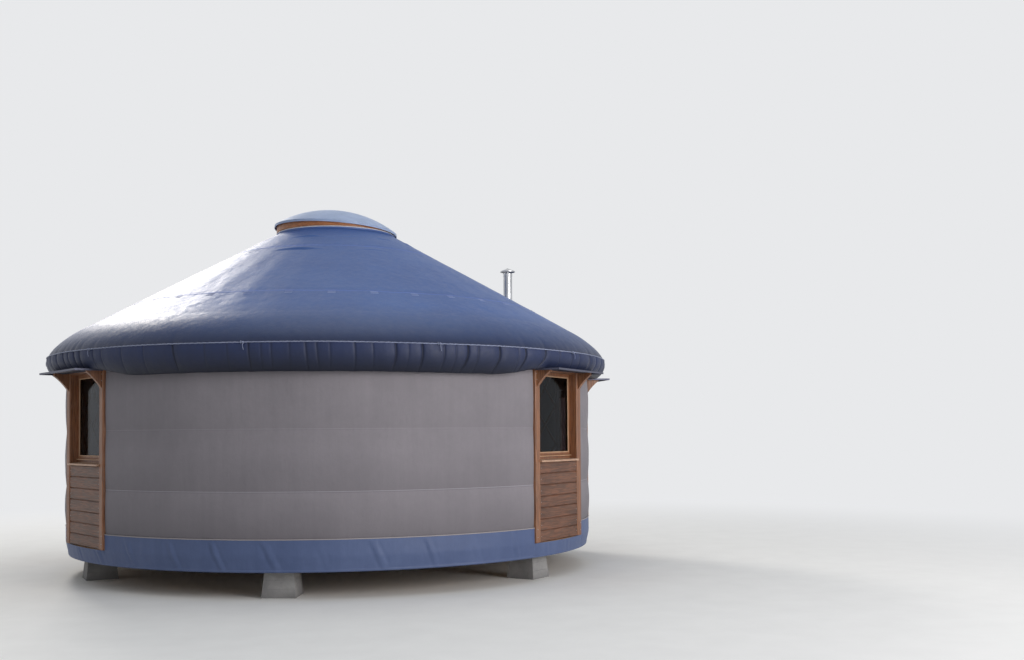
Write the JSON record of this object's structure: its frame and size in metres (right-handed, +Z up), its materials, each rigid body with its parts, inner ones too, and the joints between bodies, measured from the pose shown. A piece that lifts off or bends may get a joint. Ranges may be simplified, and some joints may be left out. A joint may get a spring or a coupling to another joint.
{
  "type": "yurt",
  "caption": "Round insulated yurt with padded canvas walls, flat timber window panels, a glazed door and a low padded roof with a roof light, on a raised platform.",
  "frame": {"origin": "on the ground under the middle of the centre pier, on the upright axis of the yurt", "axes": "+Z up, +X out of the door, so -Y is the side with the two windows of the picture"},
  "size_m": [8.0723, 8.0122, 5.2572],
  "materials": {
    "concrete": "rough cast concrete",
    "platform_timber": "sawn softwood",
    "deck_timber": "planed boards",
    "skirt_canvas": "coated canvas, satin",
    "wall_canvas": "padded canvas, matt",
    "roof_canvas": "coated canvas, satin",
    "eave_canvas": "padded coated canvas, satin",
    "rope_fibre": "twisted fibre",
    "lattice_timber": "planed laths",
    "roof_timber": "planed softwood",
    "crown_timber": "laminated, oiled",
    "panel_timber": "oiled, satin",
    "board_timber": "oiled weatherboards",
    "bead_timber": "planed beads",
    "glazing": "clear double glazing",
    "drip_metal": "folded sheet, grey",
    "curb_plastic": "moulded, pale grey",
    "dome_plastic": "translucent sheet",
    "steel_fittings": "satin steel",
    "flue_steel": "stainless sheet",
    "flashing_rubber": "moulded flashing"
  },
  "bodies": {
    "yurt": {"concrete_piers": "concrete", "platform_hub": "platform_timber", "platform_beams": "platform_timber", "platform_joists": "platform_timber", "rim_joists": "platform_timber", "platform_rim": "platform_timber", "floor_deck": "deck_timber", "skirt": "skirt_canvas", "wall_door_left": "wall_canvas", "wall_door_right": "wall_canvas", "wall_back_right": "wall_canvas", "wall_back_left": "wall_canvas", "wall_front_right": "wall_canvas", "wall_front_left": "wall_canvas", "wall_end": "wall_canvas", "lattice_door_left": "lattice_timber", "lattice_door_right": "lattice_timber", "lattice_back": "lattice_timber", "lattice_front": "lattice_timber", "lattice_end": "lattice_timber", "wall_plate": "roof_timber", "panel_posts": "panel_timber", "panel_heads": "panel_timber", "eave_brackets": "panel_timber", "drip_plates": "drip_metal", "window_aprons": "panel_timber", "window_boards": "board_timber", "window_sills": "panel_timber", "window_frames": "panel_timber", "window_glass": "glazing", "window_beads": "bead_timber", "door_frame": "panel_timber", "door_threshold": "panel_timber", "door_hinge_pins": "steel_fittings", "roof_poles": "roof_timber", "crown_ring": "crown_timber", "crown_curb": "curb_plastic", "roof_cover": "roof_canvas", "eave_roll": "eave_canvas", "eave_rope": "rope_fibre", "dome": "dome_plastic", "dome_hinges": "steel_fittings", "dome_stay": "steel_fittings", "flue_pipe": "flue_steel", "flue_cap": "flue_steel", "flue_flashing": "flashing_rubber"},
    "door": {"door_leaf": "panel_timber", "door_glass": "glazing", "door_handle": "steel_fittings", "door_hinge_sleeves": "steel_fittings"}
  },
  "joints": [
    {"name": "door_hinge", "type": "hinge", "parent": "yurt", "child": "door", "pos_m": [3.55404, -0.501, 1.525], "axis": [0, 0, 1], "range_deg": [0, 95]}
  ]
}
